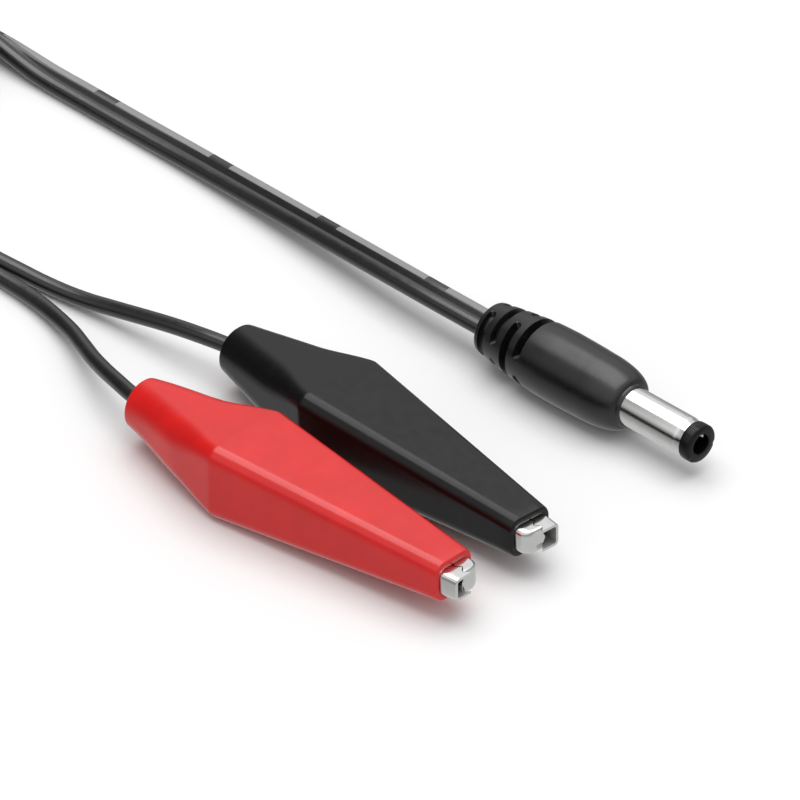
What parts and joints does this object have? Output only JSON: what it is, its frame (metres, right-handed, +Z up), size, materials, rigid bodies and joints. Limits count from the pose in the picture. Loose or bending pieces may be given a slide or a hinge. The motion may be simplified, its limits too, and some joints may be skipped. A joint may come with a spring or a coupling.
{
  "type": "barrel plug to crocodile clip power lead",
  "caption": "Low-voltage power lead: a barrel plug on a flat twin cord that parts into two leads ending in sprung crocodile clips in soft boots.",
  "frame": {"origin": "on the surface the lead lies on, under the middle of the plug and clips", "axes": "+X is the way the plug points, +Z is up, +Y goes from the clips towards the plug"},
  "size_m": [0.1844, 0.0596, 0.0112],
  "materials": {
    "handle_pvc": "satin moulded PVC",
    "inner_moulding": "natural nylon",
    "barrel_nickel": "bright nickel plate",
    "nose_plastic": "hard black plastic",
    "contact_brass": "plated brass",
    "tinned_copper": "tinned copper strands",
    "red_boot_pvc": "satin soft PVC",
    "black_boot_pvc": "satin soft PVC",
    "jaw_steel": "nickel plated sheet steel",
    "rivet_steel": "plated steel",
    "spring_steel": "plated spring steel",
    "cord_pvc": "satin PVC insulation",
    "tie_nylon": "hook and loop strap"
  },
  "bodies": {
    "lead": {"plug_handle": "handle_pvc", "plug_core": "inner_moulding", "barrel_sleeve": "barrel_nickel", "barrel_insulator": "nose_plastic", "centre_contact": "contact_brass", "plug_wire_ends": "tinned_copper", "red_boot_body": "red_boot_pvc", "red_fixed_jaw": "jaw_steel", "red_jaw_rivet": "rivet_steel", "red_jaw_spring": "spring_steel", "red_wire_end": "tinned_copper", "black_boot_body": "black_boot_pvc", "black_fixed_jaw": "jaw_steel", "black_jaw_rivet": "rivet_steel", "black_jaw_spring": "spring_steel", "black_wire_end": "tinned_copper", "twin_cord_run": "cord_pvc", "cord_coil": "cord_pvc", "twin_cord_tail": "cord_pvc", "red_lead": "cord_pvc", "black_lead": "cord_pvc", "cord_tie": "tie_nylon"},
    "red_jaw": {"red_boot_jaw_side": "red_boot_pvc", "red_moving_jaw": "jaw_steel"},
    "black_jaw": {"black_boot_jaw_side": "black_boot_pvc", "black_moving_jaw": "jaw_steel"}
  },
  "joints": [
    {"name": "red_jaw_hinge", "type": "hinge", "parent": "lead", "child": "red_jaw", "pos_m": [0.00339, -0.02167, 0.00576], "axis": [0.0113, 0.0002, -0.9999], "range_deg": [0, 16], "stiffness_Nm_per_rad": 0.05, "springref_deg": -45.84, "deforming": ["red_jaw_spring"]},
    {"name": "black_jaw_hinge", "type": "hinge", "parent": "lead", "child": "black_jaw", "pos_m": [0.00373, -0.00569, 0.00576], "axis": [-0.0113, 0.0007, 0.9999], "range_deg": [0, 16], "stiffness_Nm_per_rad": 0.05, "springref_deg": -45.84, "deforming": ["black_jaw_spring"]}
  ]
}
